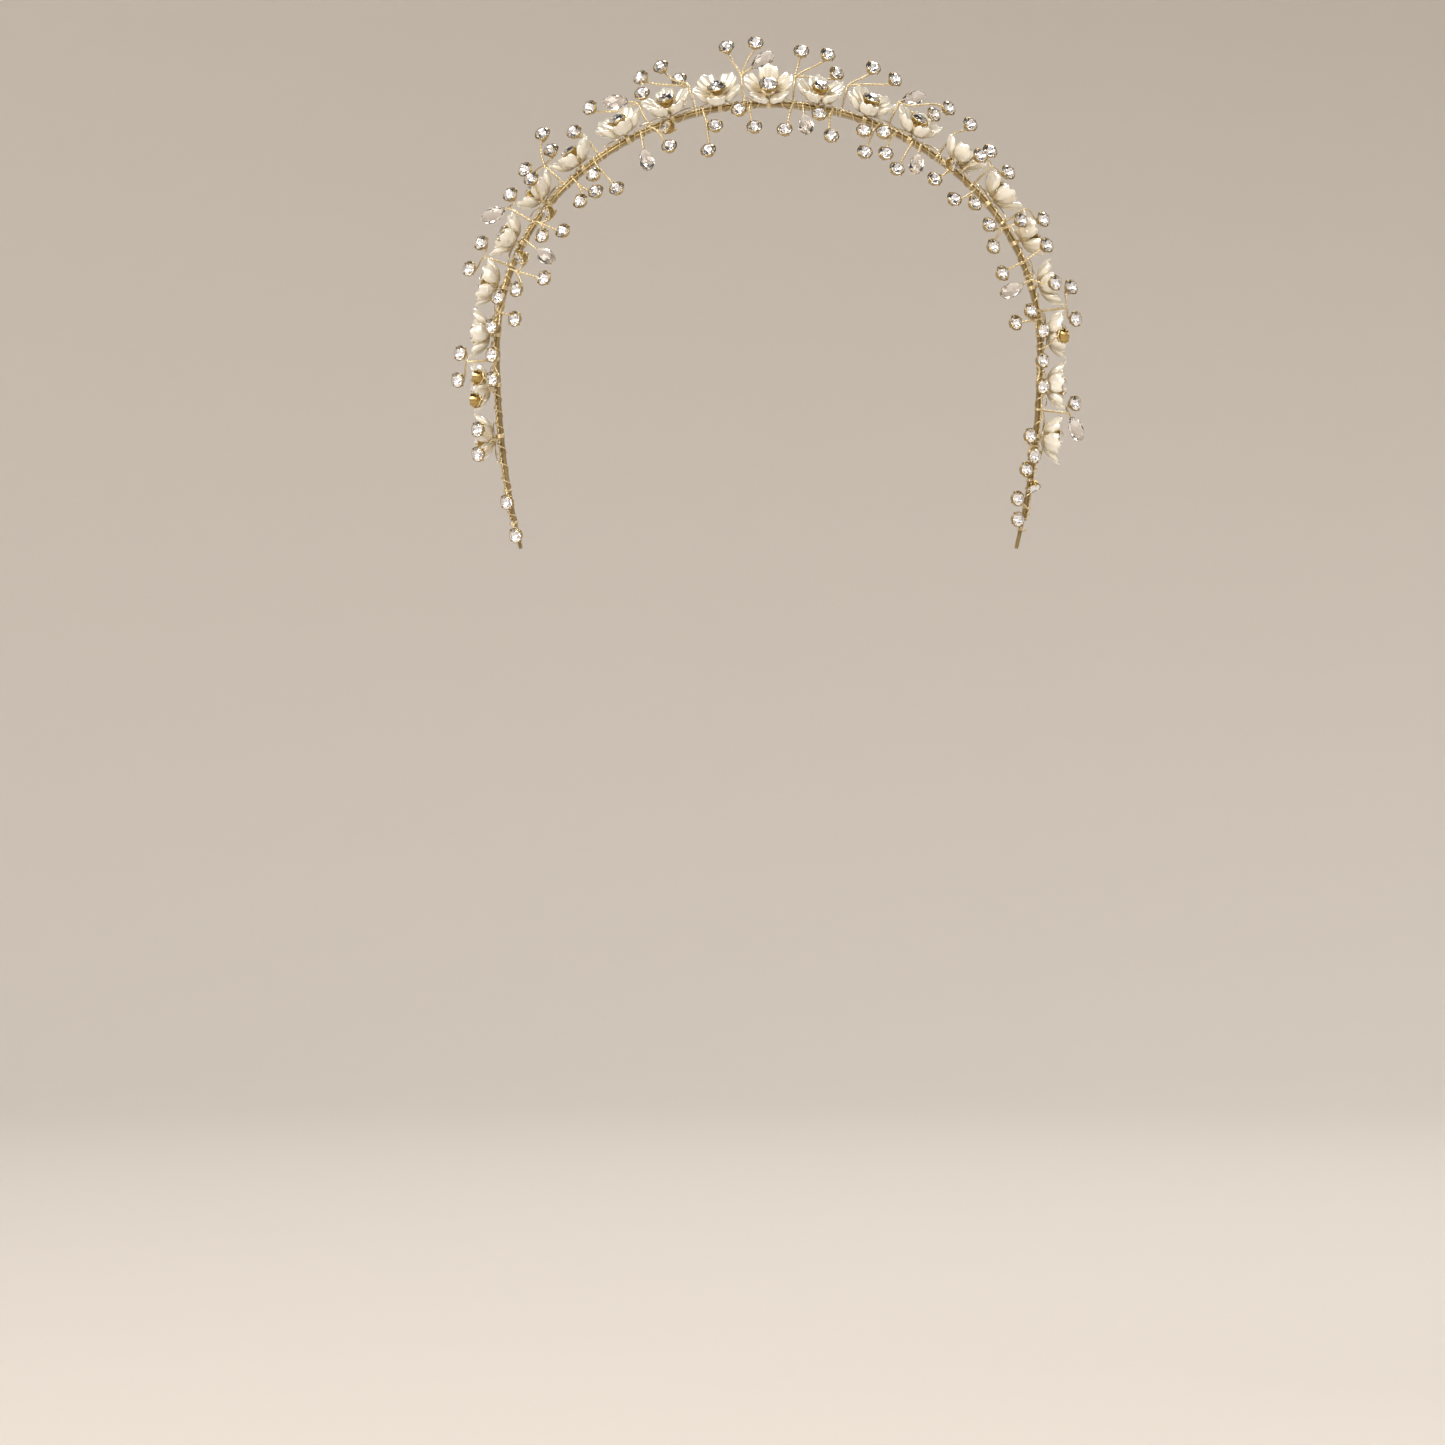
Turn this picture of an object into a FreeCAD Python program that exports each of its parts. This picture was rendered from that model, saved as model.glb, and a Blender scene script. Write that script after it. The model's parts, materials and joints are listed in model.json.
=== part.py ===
import FreeCAD, Part
import math
import os

Vector = FreeCAD.Vector
os.makedirs("parts", exist_ok=True)

# Bridal tiara: a flat springy hairband that carries a row of moulded flowers and many small sprigs of
# wire, crystals and glass drops, all bound on with fine wire. It is drawn standing up as it sits on a head.
# Origin: the middle of the head opening, where the two arms are widest apart. +X is the wearer's left as
# seen from the front, -Y faces forwards, +Z is up. Lengths are in millimetres and angles in degrees.

# ---- Band ----
half_width = 78.3            # origin to the band's middle line at the widest place
rise = 70.8                  # origin to the band's middle line at the top
shoulder_heading = 43.2      # where the flatter crown arc hands over to the rounder side arc
leg_radius = 250.0           # the nearly straight arms below the widest place
leg_drop = 55.0              # how far the arms reach below the origin
band_width = 5.0
band_thickness = 1.0
flex_heading = 34.0          # where the springing of each arm is gathered into one joint
flex_gap = 0.3               # between the crown and an arm, along the band

# ---- Wires ----
vine_wire = 0.8              # diameter of the two wires that run along the band
vine_spread = 3.0            # between those two wires
vine_end = 6.0               # how far they stop short of the band's ends
binding_wire = 0.3           # diameter of the wire that is wound round band and vine wires
binding_pitch = 0.6          # between turns
binding_reach = 1.9          # what is fixed this close together along the band shares one binding
stem_wire = 0.7              # two fine wires twisted together, over both
touch = 0.05                 # clearance between pieces that are bound against each other

# ---- Flowers ----
flowers_each_side = 10
flower_pitch = 15.15         # between neighbours, along the line of flower middles
flex_extra = 1.5             # more room where an arm springs
flower_middle = 6.5          # height of that line over the band's middle line
flower_stand = 3.8           # band's middle line to the back of a flower
flower_shift = 2.0           # how far a flower that faced forwards would stand in front of the middle plane
flower_diameter = 14.9
flower_depth = 4.9
flower_hole = 1.2            # diameter of the hole that the tie goes through
petal_count = 5
petal_thickness = 1.15
# Forward tilt of each flower from facing straight out of the band, from the top down.
centre_tilt = 52.0
left_tilts = [37.0, 27.0, 20.0, 9.0, 6.0, 6.0, -3.0, 0.0, 0.0, 3.0]
right_tilts = [30.0, 24.0, 20.0, -6.0, -6.0, -6.0, 0.0, 6.0, 6.0, 4.0]

# ---- Crystals, cups and drops ----
sprig_stone = 4.0            # diameter
flower_stone = 4.9           # diameter
cup_wall = 0.25
claw_width = 0.7
drop_length = 8.2
drop_diameter = 4.6
front_depth = 5.6            # how far in front of the middle plane the front sprigs' crystals begin
front_slope_down = 0.5       # and how much further forward for each millimetre below the band
front_slope_up = 0.75        # or above it, where they stand in front of the petals
rear_depth = 5.2             # how far behind the middle plane the rear sprigs stand
low_rear_depth = 7.4         # and those whose crystals are low, behind the petals
low_height = 14.0            # over the band, what counts as low
fork_share = 0.4             # where a front stem forks, as a share of the way to its crystals
fork_height = 9.7            # where a rear stem forks, over the band, clear of the petals
knee = 1.2                   # how far behind its cup a branch turns into it
wire_clearance = 0.2         # between a stem and any crystal that it goes round

# ---- Sprigs ----
# Each sprig: the flower that it is bound on beside, counted from the centre one (minus is to the left), how
# far along the band from that flower, and its branches: (lean along the band, height over the band, end).
# A "turned" crystal shows the back of its cup to the front, and a "side" crystal looks along the band.
rear_sprigs = [
    (0, -7.0, [(4.0, 19.0, "crystal"), (-3.0, 18.5, "crystal"), (5.5, 13.8, "drop")]),
    (-1, -6.9, [(-2.0, 12.2, "crystal"), (-5.5, 17.0, "crystal"), (-11.0, 16.0, "crystal")]),
    (-2, -6.9, [(2.0, 11.8, "crystal"), (-5.0, 12.6, "drop"), (-11.5, 14.8, "crystal")]),
    (-4, 6.1, [(-1.5, 11.8, "crystal")]),
    (-4, -6.9, [(5.0, 16.8, "crystal"), (4.0, 11.8, "crystal"), (-4.0, 13.0, "crystal")]),
    (-6, 6.8, [(3.0, 11.8, "crystal"), (-3.5, 12.4, "drop")]),
    (-7, 6.6, [(3.0, 12.0, "crystal"), (-4.0, 12.6, "crystal")]),
    (-8, -7.1, [(2.5, 11.4, "crystal"), (-5.0, 12.2, "crystal")]),
    (0, 7.0, [(1.0, 17.0, "crystal"), (7.5, 17.0, "crystal"), (10.5, 12.4, "crystal")]),
    (1, 6.9, [(5.0, 16.4, "crystal"), (11.0, 15.4, "crystal")]),
    (2, 6.9, [(3.0, 12.6, "drop"), (12.0, 15.0, "crystal"), (9.5, 11.4, "crystal")]),
    (4, -6.1, [(2.0, 14.6, "crystal")]),
    (4, 6.9, [(4.0, 11.8, "crystal"), (-3.0, 12.4, "crystal")]),
    (6, -6.8, [(4.5, 12.0, "crystal")]),
    (7, 6.9, [(-5.0, 12.2, "crystal"), (3.0, 11.8, "crystal")]),
    (9, 7.1, [(-3.0, 11.4, "crystal"), (4.0, 12.0, "drop")]),
]
front_sprigs = [
    (0, -5.0, [(0.5, -6.8, "crystal"), (-3.8, -1.2, "crystal")]),
    (-1, -4.9, [(2.5, -5.0, "crystal"), (-1.5, -11.8, "crystal")]),
    (-2, -6.4, [(2.5, -7.0, "crystal"), (4.0, -1.4, "side")]),
    (-3, 4.2, [(-2.5, -8.0, "drop")]),
    (-4, 4.1, [(0.0, -10.4, "crystal"), (-3.0, -2.8, "crystal")]),
    (-4, -3.9, [(2.2, -7.2, "crystal"), (-3.5, -6.2, "crystal")]),
    (-5, -1.5, [(3.0, 8.2, "crystal")]),
    (-5, -6.5, [(3.6, -1.2, "side"), (2.0, -8.0, "crystal"), (-2.8, -3.6, "crystal")]),
    (-6, 1.3, [(-2.0, -7.6, "drop")]),
    (-7, 5.6, [(3.6, -1.0, "side"), (0.5, -9.8, "crystal"), (-5.5, -3.0, "crystal")]),
    (-7, -6.9, [(3.6, 1.4, "crystal"), (-2.0, -4.4, "crystal"), (-5.0, 2.0, "crystal")]),
    (-9, 5.9, [(2.6, 1.6, "crystal"), (-4.5, 1.6, "crystal")]),
    (-9, -1.6, [(3.5, 5.6, "turned"), (-3.0, 6.6, "turned")]),
    (-10, -0.9, [(3.0, 6.6, "crystal"), (-4.0, 7.2, "crystal")]),
    (-10, -15.9, [(-3.4, 1.2, "crystal")]),
    (-10, -25.4, [(-3.8, 0.6, "crystal")]),
    (0, 7.0, [(-2.0, -7.6, "crystal")]),
    (1, -4.1, [(1.5, -5.6, "drop")]),
    (1, 4.4, [(-3.5, -1.6, "crystal"), (1.5, -7.4, "crystal")]),
    (2, 4.4, [(-3.5, -3.0, "crystal"), (-0.8, -9.0, "crystal")]),
    (3, -4.2, [(-3.4, -1.2, "crystal"), (0.0, -6.8, "crystal")]),
    (3, 1.3, [(0.0, -9.4, "crystal")]),
    (3, 3.8, [(2.0, -5.2, "drop")]),
    (4, -4.0, [(3.2, 1.0, "side")]),
    (4, -0.1, [(-2.4, -5.6, "crystal")]),
    (4, 1.9, [(1.5, 7.6, "crystal")]),
    (5, -5.5, [(-2.2, -6.4, "crystal"), (3.2, -2.8, "crystal")]),
    (6, -5.3, [(-3.0, -3.4, "crystal"), (3.5, -5.8, "crystal"), (1.0, 4.8, "crystal")]),
    (6, 6.2, [(1.0, -6.8, "crystal"), (-1.5, 7.8, "crystal")]),
    (7, -3.6, [(3.0, -6.0, "drop"), (4.5, 6.6, "crystal")]),
    (8, -4.4, [(-2.6, -1.6, "crystal"), (0.5, -6.6, "crystal"), (3.5, 1.2, "crystal")]),
    (8, 4.1, [(-3.0, 6.6, "turned")]),
    (9, -3.9, [(-3.0, 0.8, "crystal"), (4.5, 1.2, "crystal")]),
    (10, 2.9, [(-2.6, -1.4, "crystal"), (3.0, 0.4, "crystal")]),
    (10, 12.9, [(-2.8, -1.4, "crystal"), (2.4, 1.2, "side")]),
    (10, 20.9, [(-2.0, -2.6, "crystal")]),
    (10, 27.4, [(-2.6, -1.4, "crystal")]),
]

# ---- The band's middle line: three arcs each side of the top, one running into the next ----
shoulder = math.radians(shoulder_heading)
arc_shift = (half_width - rise) / (math.sin(shoulder) + math.cos(shoulder) - 1)
crown_radius = rise + arc_shift * math.cos(shoulder)
side_radius = half_width - arc_shift * math.sin(shoulder)
end_heading = 90 + math.degrees(math.asin(leg_drop / leg_radius))
# Each arc: where it ends, its radius and its centre (x, z), on the right-hand side.
arcs = [
    (shoulder_heading, crown_radius, (0.0, rise - crown_radius)),
    (90.0, side_radius, (half_width - side_radius, 0.0)),
    (end_heading, leg_radius, (half_width - leg_radius, 0.0)),
]
# Sizes over the binding, worked out from what lies under it.
wire_height = band_thickness / 2 + touch + vine_wire / 2
binding_top = wire_height + vine_wire / 2 + touch + binding_wire
binding_side = band_width / 2 + touch + binding_wire


def heading_at(length, height=0.0):
    """The heading, from straight up, at a length from the top along the line at this height over the band."""
    side = math.copysign(1, length)
    left = abs(length)
    start = 0.0
    for end, radius, centre in arcs:
        span = math.radians(end - start) * (radius + height)
        if left <= span or end == end_heading:
            return side * (start + math.degrees(left / (radius + height)))
        left -= span
        start = end


def point_at(heading, height=0.0, depth=0.0):
    """The point over the band at this heading; depth runs backwards from the middle plane."""
    side = math.copysign(1, heading)
    turn = math.radians(abs(heading))
    for end, radius, centre in arcs:
        if abs(heading) <= end or end == end_heading:
            x = centre[0] + (radius + height) * math.sin(turn)
            z = centre[1] + (radius + height) * math.cos(turn)
            return Vector(side * x, depth, z)


def outward(heading):
    return Vector(math.sin(math.radians(heading)), 0, math.cos(math.radians(heading)))


def along(heading):
    return Vector(math.cos(math.radians(heading)), 0, -math.sin(math.radians(heading)))


def frame_at(origin, facing, across):
    """A placement whose local +Z faces along facing and whose local +X is as near across as it can be."""
    z = Vector(facing).normalize()
    y = z.cross(across).normalize()
    x = y.cross(z)
    matrix = FreeCAD.Matrix(x.x, y.x, z.x, origin.x, x.y, y.y, z.y, origin.y, x.z, y.z, z.z, origin.z, 0, 0, 0, 1)
    return FreeCAD.Placement(matrix)


def place(shape, placement):
    copy = shape.copy()
    copy.Placement = placement
    return copy


def export(name, solids):
    """Write one node; a node of several like pieces is a group of separate solids."""
    shape = solids[0] if len(solids) == 1 else Part.makeCompound(solids)
    shape.exportStep(os.path.join("parts", name + ".step"))


def join(solids):
    shape = solids[0].fuse(solids[1:]) if len(solids) > 1 else solids[0]
    return shape.removeSplitter().Solids[0]


def sweep_side(profile, side, start, end):
    """Carry a profile, drawn at the top with +Z outwards, along one side of the band between two headings."""
    pieces = []
    first = start
    for stop, radius, centre in arcs:
        last = min(stop, end)
        if first < last:
            pivot = Vector(side * centre[0], 0, centre[1])
            face = profile.copy()
            face.translate(Vector(0, 0, radius))
            face.rotate(Vector(0, 0, 0), Vector(0, 1, 0), side * first)
            face.translate(pivot)
            pieces.append(face.revolve(pivot, Vector(0, 1, 0), side * (last - first)))
            first = last
    return pieces


def sweep(profile, start, end):
    """Carry a profile along the band from one signed heading to another, in one solid."""
    if start < 0 < end:
        return join(sweep_side(profile, -1, 0.0, -start) + sweep_side(profile, 1, 0.0, end))
    side = math.copysign(1, end)
    return join(sweep_side(profile, side, abs(start), abs(end)))


# ---- Band ----
def band_profile():
    return Part.Face(Part.makePolygon([
        Vector(0, -band_width / 2, -band_thickness / 2), Vector(0, band_width / 2, -band_thickness / 2),
        Vector(0, band_width / 2, band_thickness / 2), Vector(0, -band_width / 2, band_thickness / 2),
        Vector(0, -band_width / 2, -band_thickness / 2)]))


def wire_profile(depth):
    circle = Part.makeCircle(vine_wire / 2, Vector(0, depth, wire_height), Vector(1, 0, 0))
    return Part.Face(Part.Wire(circle))


def band_tip(side):
    """The band's rounded end."""
    heading = side * end_heading
    root = point_at(heading, -band_thickness / 2)
    return Part.makeCylinder(band_width / 2, band_thickness, root, outward(heading))


flex_half = math.degrees((flex_gap / 2) / crown_radius)
wire_end_heading = end_heading - math.degrees(vine_end / leg_radius)
sections = {
    "crown": (-flex_heading + flex_half, flex_heading - flex_half),
    "left": (-flex_heading - flex_half, -end_heading),
    "right": (flex_heading + flex_half, end_heading),
}
for section, (start, end) in sections.items():
    band = sweep(band_profile(), start, end)
    wire_end = end
    if section != "crown":
        side = math.copysign(1, end)
        band = join([band, band_tip(side)])
        wire_end = side * wire_end_heading
    export(section + "_band", [band])
    wires = [sweep(wire_profile(row * vine_spread / 2), start, wire_end) for row in (-1, 1)]
    export(section + "_vine_wires", wires)


def section_of(heading):
    if abs(heading) < flex_heading:
        return "crown"
    return "left" if heading < 0 else "right"


# ---- Crystals in claw cups, and glass drops; each is drawn with its back at the origin, facing +Z ----
def revolve(points):
    face = Part.Face(Part.makePolygon([Vector(x, 0, z) for x, z in points + points[:1]]))
    return face.revolve(Vector(0, 0, 0), Vector(0, 0, 1), 360)


class Setting:
    """A round crystal and the claw cup that it sits in."""

    def __init__(self, diameter):
        radius = diameter / 2
        floor = cup_wall
        self.culet = floor + touch
        self.girdle = self.culet + 0.4 * diameter
        girdle_height = 0.04 * diameter
        table = self.girdle + girdle_height + 0.2 * diameter
        self.stone = revolve([
            (0, self.culet), (radius, self.girdle), (radius, self.girdle + girdle_height),
            (0.56 * radius, table), (0, table)])
        inner = radius + touch
        self.radius = inner + cup_wall
        base = 0.6 * self.radius
        cup = revolve([
            (0, 0), (base, 0), (self.radius, self.girdle), (inner, self.girdle), (base - cup_wall, floor),
            (0, floor)])
        claw_height = 0.9 * cup_wall + 0.16 * diameter
        claw = Part.makeBox(cup_wall, claw_width, claw_height, Vector(inner, -claw_width / 2, self.girdle - cup_wall))
        claws = [place(claw, FreeCAD.Placement(Vector(), FreeCAD.Rotation(Vector(0, 0, 1), turn)))
                 for turn in (45, 135, 225, 315)]
        self.cup = join([cup] + claws)


small_setting = Setting(sprig_stone)
large_setting = Setting(flower_stone)
drop = revolve([
    (0, 0), (0.2 * drop_diameter, 0.04 * drop_length), (0.42 * drop_diameter, 0.42 * drop_length),
    (0.5 * drop_diameter, 0.6 * drop_length), (0.4 * drop_diameter, 0.84 * drop_length),
    (0.16 * drop_diameter, drop_length), (0, drop_length)])


# ---- Flower: a cupped disc cut to the outline of five petals, with its back at the origin, facing +Z ----
def flower_solid():
    radius = flower_diameter / 2
    hole = flower_hole / 2
    seat = large_setting.radius * 0.6 + 0.4
    back = [Vector(seat, 0, 0), Vector(0.75 * radius, 0, 0.22 * flower_depth), Vector(radius, 0, 0.84 * flower_depth)]
    front = [Vector(0.96 * radius, 0, flower_depth), Vector(0.72 * radius, 0, 0.53 * flower_depth),
             Vector(seat, 0, petal_thickness)]
    edges = [
        Part.makeLine(Vector(hole, 0, 0), back[0]),
        Part.Arc(*back).toShape(),
        Part.makeLine(back[2], front[0]),
        Part.Arc(*front).toShape(),
        Part.makeLine(front[2], Vector(hole, 0, petal_thickness)),
        Part.makeLine(Vector(hole, 0, petal_thickness), Vector(hole, 0, 0)),
    ]
    dish = Part.Face(Part.Wire(edges)).revolve(Vector(0, 0, 0), Vector(0, 0, 1), 360)
    petal_radius = 0.5 * radius
    outline = [Part.makeCylinder(0.55 * radius, 2 * flower_depth, Vector(0, 0, -flower_depth / 2))]
    for index in range(petal_count):
        turn = math.radians(index * 360 / petal_count)
        reach = radius - petal_radius
        middle = Vector(reach * math.cos(turn), reach * math.sin(turn), -flower_depth / 2)
        outline.append(Part.makeCylinder(petal_radius, 2 * flower_depth, middle))
    return dish.common(join(outline)).Solids[0]


def rod(start, end, diameter):
    return Part.makeCylinder(diameter / 2, (end - start).Length, start, end - start)


def bent_wires(paths, diameter):
    """One solid of wires that share ends: straight runs, each with a rounded far end."""
    pieces = []
    for points in paths:
        for start, end in zip(points, points[1:]):
            pieces.append(rod(start, end, diameter))
            pieces.append(Part.makeSphere(diameter / 2, end))
    return join(pieces)


def binding_turn():
    """One turn of binding wire round the band and both vine wires, flat to the band, at the top."""
    low = -band_thickness / 2 - touch
    high = binding_top - binding_wire
    side = binding_side - binding_wire
    outer = Part.makeBox(binding_wire, 2 * binding_side, high - low + 2 * binding_wire,
                         Vector(-binding_wire / 2, -binding_side, low - binding_wire))
    inner = Part.makeBox(3 * binding_wire, 2 * side, high - low, Vector(-1.5 * binding_wire, -side, low))
    return outer.cut(inner).Solids[0]


flower = flower_solid()
turn_shape = binding_turn()
groups = {}
bound_spots = []


def add(section, kind, solid):
    groups.setdefault(section + "_" + kind, []).append(solid)


def bind(length, turns):
    """Wind turns of binding wire round the band at a length from the top, unless a binding is there."""
    if any(abs(length - spot) < binding_reach for spot in bound_spots):
        return
    bound_spots.append(length)
    for index in range(turns):
        heading = heading_at(length + (index - (turns - 1) / 2) * binding_pitch)
        origin = point_at(heading)
        add(section_of(heading), "bindings", place(turn_shape, frame_at(origin, outward(heading), along(heading))))


def add_setting(section, prefix, setting, placement):
    add(section, prefix + "_cups", place(setting.cup, placement))
    add(section, prefix + "_crystals", place(setting.stone, placement))


def add_flower(name, length, tilt, spin):
    """One flower on its tie, tilted forwards from straight outwards, with its crystal; returns its name."""
    heading = heading_at(length, flower_middle)
    section = section_of(heading)
    lean = math.radians(tilt)
    facing = outward(heading) * math.cos(lean) + Vector(0, -math.sin(lean), 0)
    base = point_at(heading, flower_stand, -flower_shift * math.sin(lean))
    across = along(heading)
    export(name, [place(flower, frame_at(base, facing, across).multiply(
        FreeCAD.Placement(Vector(), FreeCAD.Rotation(Vector(0, 0, 1), spin))))])
    setting_origin = base + facing * (petal_thickness + touch)
    add_setting(section, "flower", large_setting, frame_at(setting_origin, facing, across))
    root = point_at(heading, binding_top + 3 * touch)
    bend = base - facing * stem_wire
    tip = base + facing * (petal_thickness - stem_wire / 2 - touch)
    add(section, "flower_ties", bent_wires([[root, bend, tip]], stem_wire))
    bind(heading_length(heading), 3)


def heading_length(heading):
    """The length from the top, along the band's middle line, at a heading."""
    total = 0.0
    start = 0.0
    for end, radius, centre in arcs:
        total += math.radians(min(abs(heading), end) - start) * radius
        if abs(heading) <= end:
            break
        start = end
    return math.copysign(total, heading)


# The petals of neighbours are turned differently, by a step that doesn't repeat along a side.
spin_step = 29.0
add_flower("flower_centre", 0.0, centre_tilt, 18.0)
flower_lengths = {0: 0.0}
for side_name, side, tilts in (("left", -1, left_tilts), ("right", 1, right_tilts)):
    length = 0.0
    for index in range(flowers_each_side):
        before = heading_at(length, flower_middle)
        length += flower_pitch
        if before < flex_heading < heading_at(length, flower_middle):
            length += flex_extra
        spin = side * (index + 1) * spin_step
        add_flower("flower_%s_%d" % (side_name, index + 1), side * length, tilts[index], spin)
        flower_lengths[side * (index + 1)] = heading_length(heading_at(side * length, flower_middle))


# ---- Sprigs ----
def run_round(start, end, obstacles, tries=3):
    """The points of a wire from start to end, bent round each (centre, radius) that it would cut."""
    direction = end - start
    worst = 0.0
    bend = None
    for centre, radius in obstacles:
        clear = radius + stem_wire / 2 + wire_clearance
        share = min(max((centre - start).dot(direction) / direction.dot(direction), 0.0), 1.0)
        nearest = start + direction * share - centre
        if 0.02 < share < 0.98 and clear - nearest.Length > worst:
            worst = clear - nearest.Length
            bend = centre + nearest.normalize() * (1.15 * clear)
    if bend is None or tries == 0:
        return [start, end]
    return run_round(start, bend, obstacles, tries - 1)[:-1] + run_round(bend, end, obstacles, tries - 1)


def facing_of(heading, kind, depth_side, lean):
    """Which way a crystal looks: mostly forwards and outwards, and a little towards the side it leans to."""
    front = Vector(0, -1, 0)
    sway = along(heading) * (0.03 * lean)
    if kind == "side":
        return (along(heading) * math.copysign(0.8, heading) + outward(heading) * 0.5 + front * 0.35).normalize()
    if kind == "turned":
        return (outward(heading) * 0.75 - front * 0.65 + sway).normalize()
    return (outward(heading) * 0.6 + front * 0.75 + sway).normalize()


def sprig_depth(depth_side, height):
    """How far a crystal stands behind the middle plane, or in front of it where negative."""
    if depth_side > 0:
        return low_rear_depth if height < low_height else rear_depth
    return -(front_depth + (front_slope_up * height if height > 0 else -front_slope_down * height))


def add_sprig(length, branches, depth_side):
    """One sprig: a twisted stem bound to the band, forking to crystals in cups and to glass drops."""
    root_heading = heading_at(length)
    section = section_of(root_heading)
    if depth_side > 0:
        root = point_at(root_heading, binding_top + touch, vine_spread / 2)
    else:
        root = point_at(root_heading, band_thickness / 2, -(binding_side + touch + stem_wire / 2))
    ends = []
    for lean, height, kind in branches:
        heading = heading_at(length + lean)
        ends.append((point_at(heading, height, sprig_depth(depth_side, height)), heading, kind, lean))
    if depth_side > 0:
        fork = point_at(root_heading, fork_height, rear_depth)
    else:
        middle = sum((end[0] for end in ends), Vector()) * (1 / len(ends))
        fork = root + (middle - root) * fork_share
    obstacles = []
    wire_ends = []
    for point, heading, kind, lean in ends:
        across = along(heading) + Vector(0, 0.1, 0)
        if kind == "drop":
            facing = (point - fork).normalize()
            back = point - facing * (drop_length / 2)
            add(section, "drops", place(drop, frame_at(back, facing, across)))
            obstacles += [(point + facing * shift, drop_diameter / 2) for shift in (-1.5, 1.5)]
        else:
            facing = facing_of(heading, kind, depth_side, lean)
            back = point - facing * small_setting.girdle
            add_setting(section, "sprig", small_setting, frame_at(back, facing, across))
            obstacles.append((point, small_setting.radius))
        end = back - facing * (stem_wire / 2 + touch)
        wire_ends.append((end - facing * (0 if kind == "drop" else knee), end))
    paths = [run_round(root, fork, obstacles)]
    for turn, end in wire_ends:
        paths.append(run_round(fork, turn, obstacles) + ([end] if end != turn else []))
    add(section, "stems", bent_wires(paths, stem_wire))
    bind(length, 2)


for depth_side, sprigs in ((1, rear_sprigs), (-1, front_sprigs)):
    for beside, offset, branches in sprigs:
        add_sprig(flower_lengths[beside] + offset, branches, depth_side)

for name, solids in groups.items():
    export(name, solids)
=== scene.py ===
import bpy
import json
import math
import random
import numpy as np
from mathutils import Matrix, Vector

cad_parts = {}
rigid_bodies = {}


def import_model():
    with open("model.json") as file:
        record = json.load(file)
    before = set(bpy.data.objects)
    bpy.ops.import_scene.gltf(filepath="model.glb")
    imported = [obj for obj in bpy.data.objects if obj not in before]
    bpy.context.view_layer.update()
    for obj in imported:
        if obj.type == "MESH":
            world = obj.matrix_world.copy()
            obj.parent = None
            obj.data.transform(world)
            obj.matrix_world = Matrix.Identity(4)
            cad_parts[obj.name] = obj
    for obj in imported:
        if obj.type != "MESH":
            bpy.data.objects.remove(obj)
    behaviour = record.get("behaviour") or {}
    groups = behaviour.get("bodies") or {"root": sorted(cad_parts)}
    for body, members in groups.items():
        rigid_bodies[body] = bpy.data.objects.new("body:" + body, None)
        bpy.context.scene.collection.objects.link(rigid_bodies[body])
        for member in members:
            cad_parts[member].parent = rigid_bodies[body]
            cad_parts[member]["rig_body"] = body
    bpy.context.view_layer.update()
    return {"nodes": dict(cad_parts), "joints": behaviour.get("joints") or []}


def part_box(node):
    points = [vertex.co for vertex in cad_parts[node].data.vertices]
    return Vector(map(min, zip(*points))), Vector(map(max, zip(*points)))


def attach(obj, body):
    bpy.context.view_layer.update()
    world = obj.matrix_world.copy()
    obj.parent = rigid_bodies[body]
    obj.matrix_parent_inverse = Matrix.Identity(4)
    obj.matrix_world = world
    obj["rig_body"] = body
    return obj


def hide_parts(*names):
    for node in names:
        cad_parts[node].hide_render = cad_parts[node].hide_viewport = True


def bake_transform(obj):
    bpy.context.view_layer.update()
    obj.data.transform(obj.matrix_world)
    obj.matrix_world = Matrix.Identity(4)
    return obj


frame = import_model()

MM = 0.001

# ---- Hairband ----
# One flat strip of spring steel with rolled edges, bent to go over a head and plated in champagne gold;
# its colour is painted darker, as painted shade from the flowers over it.
# It has no seam on the real tiara.
band_thickness = 1.0 * MM
band_edge = 0.36 * MM
shoulder_heading = math.radians(43.2)
leg_radius = 250 * MM
leg_drop = 55 * MM
flex_blend = 6 * MM
band_rows = 190
crown_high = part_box("crown_band")[1]
arm_low, arm_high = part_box("right_band")
band_width = arm_high[1] - arm_low[1]
half_width = arm_high[0] - band_thickness / 2
rise = crown_high[2] - band_thickness / 2
arc_shift = (half_width - rise) / (math.sin(shoulder_heading) + math.cos(shoulder_heading) - 1)
crown_radius = rise + arc_shift * math.cos(shoulder_heading)
side_radius = half_width - arc_shift * math.sin(shoulder_heading)
# The band's middle line on one side: the turn, radius and centre of each arc, from the top down.
band_arcs = [
    (shoulder_heading, crown_radius, 0.0, rise - crown_radius),
    (math.pi / 2 - shoulder_heading, side_radius, half_width - side_radius, 0.0),
    (math.asin(leg_drop / leg_radius), leg_radius, half_width - leg_radius, 0.0),
]
half_length = sum(turn * radius for turn, radius, x, z in band_arcs)


def band_at(run, height=0.0, depth=0.0):
    """A point over the band at a length from its top, minus to the left, and the outward direction there."""
    side = math.copysign(1, run)
    left = min(abs(run), half_length)
    heading = 0.0
    for turn, radius, x, z in band_arcs:
        if left <= turn * radius:
            break
        left -= turn * radius
        heading += turn
    heading += left / radius
    outward = Vector((side * math.sin(heading), 0, math.cos(heading)))
    return Vector((side * x, depth, z)) + outward * (radius + height), outward


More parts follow.
